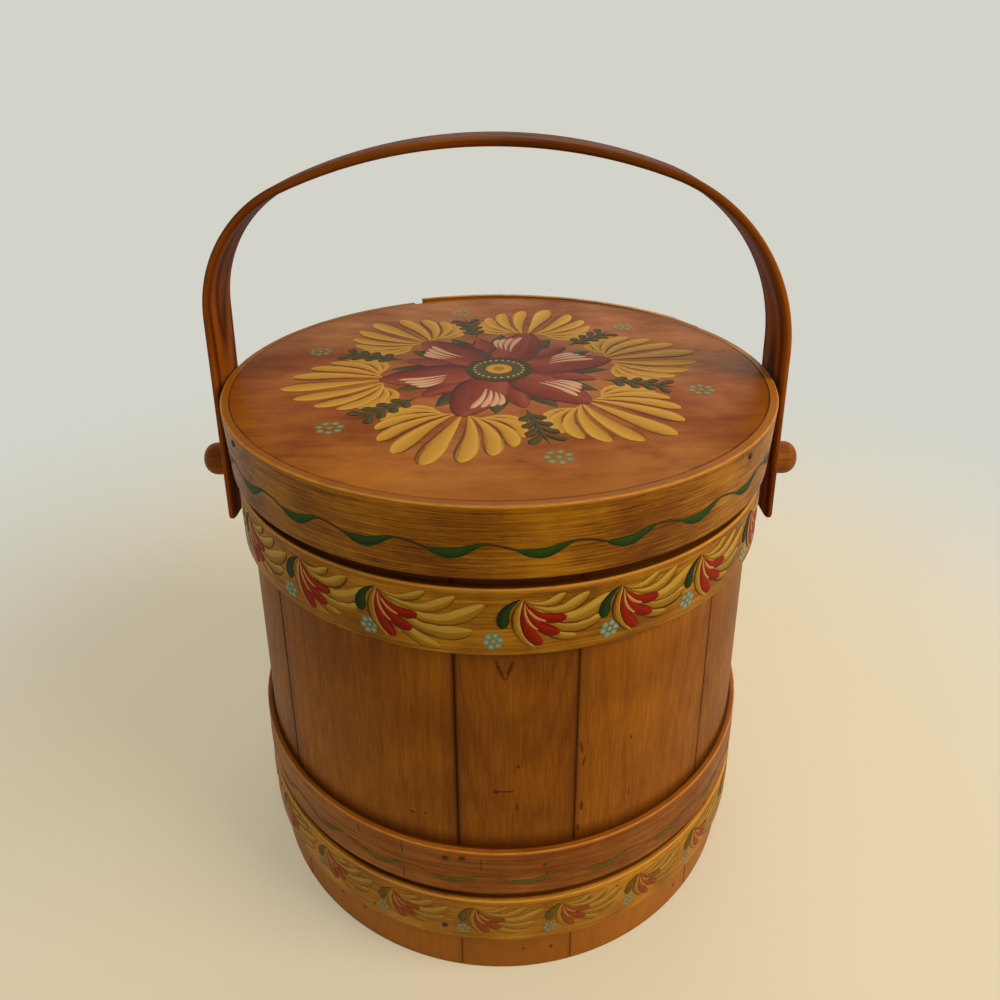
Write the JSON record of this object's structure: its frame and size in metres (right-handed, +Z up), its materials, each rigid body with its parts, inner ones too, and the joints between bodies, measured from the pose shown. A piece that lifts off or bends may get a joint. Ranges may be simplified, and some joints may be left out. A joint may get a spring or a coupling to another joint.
{
  "type": "wooden firkin",
  "caption": "Lidded wooden firkin of tapered staves held by lapped bentwood hoops, with a slip-on rimmed lid and a swinging bentwood bail on turned pegs.",
  "frame": {"origin": "centre of the ring that the staves' feet stand on, at floor level", "axes": "+Z up, +X along the pegs towards the right-hand peg, -Y towards the viewer"},
  "size_m": [0.3348, 0.3104, 0.4068],
  "materials": {
    "stave_pine": "satin shellac over honey-brown stain",
    "head_pine": "bare planed pine",
    "floral_hoop": "antiqued ochre with painted comma-stroke sprays, satin",
    "vine_hoop": "amber stain with a painted green vine, satin",
    "lid_rim": "antiqued ochre with a painted green vine, satin",
    "lid_board": "glossy russet stain with a painted rosette",
    "bail_ash": "dark chestnut stain, satin",
    "peg_ash": "dark chestnut stain, satin",
    "tack_iron": "dull, darkened"
  },
  "bodies": {
    "bucket": {"stave_01": "stave_pine", "stave_02": "stave_pine", "stave_03": "stave_pine", "stave_04": "stave_pine", "stave_05": "stave_pine", "stave_06": "stave_pine", "stave_07": "stave_pine", "stave_08": "stave_pine", "stave_09": "stave_pine", "stave_10": "stave_pine", "stave_11": "stave_pine", "stave_12": "stave_pine", "head_board_01": "head_pine", "head_board_02": "head_pine", "head_board_03": "head_pine", "top_hoop": "floral_hoop", "lower_hoop": "vine_hoop", "bottom_hoop": "floral_hoop", "top_hoop_tacks": "tack_iron", "lower_hoop_tacks": "tack_iron", "bottom_hoop_tacks": "tack_iron", "left_peg": "peg_ash", "right_peg": "peg_ash"},
    "lid": {"lid_board": "lid_board", "lid_rim": "lid_rim", "lid_rim_tacks": "tack_iron"},
    "bail": {"bail": "bail_ash"}
  },
  "joints": [
    {"name": "lid_lift", "type": "slide", "parent": "bucket", "child": "lid", "axis": [0, 0, 1], "range_m": [0, 0.021]},
    {"name": "bail_swing", "type": "hinge", "parent": "bucket", "child": "bail", "pos_m": [0, 0, 0.2408], "axis": [1, 0, 0], "range_deg": [-112, 112]}
  ]
}
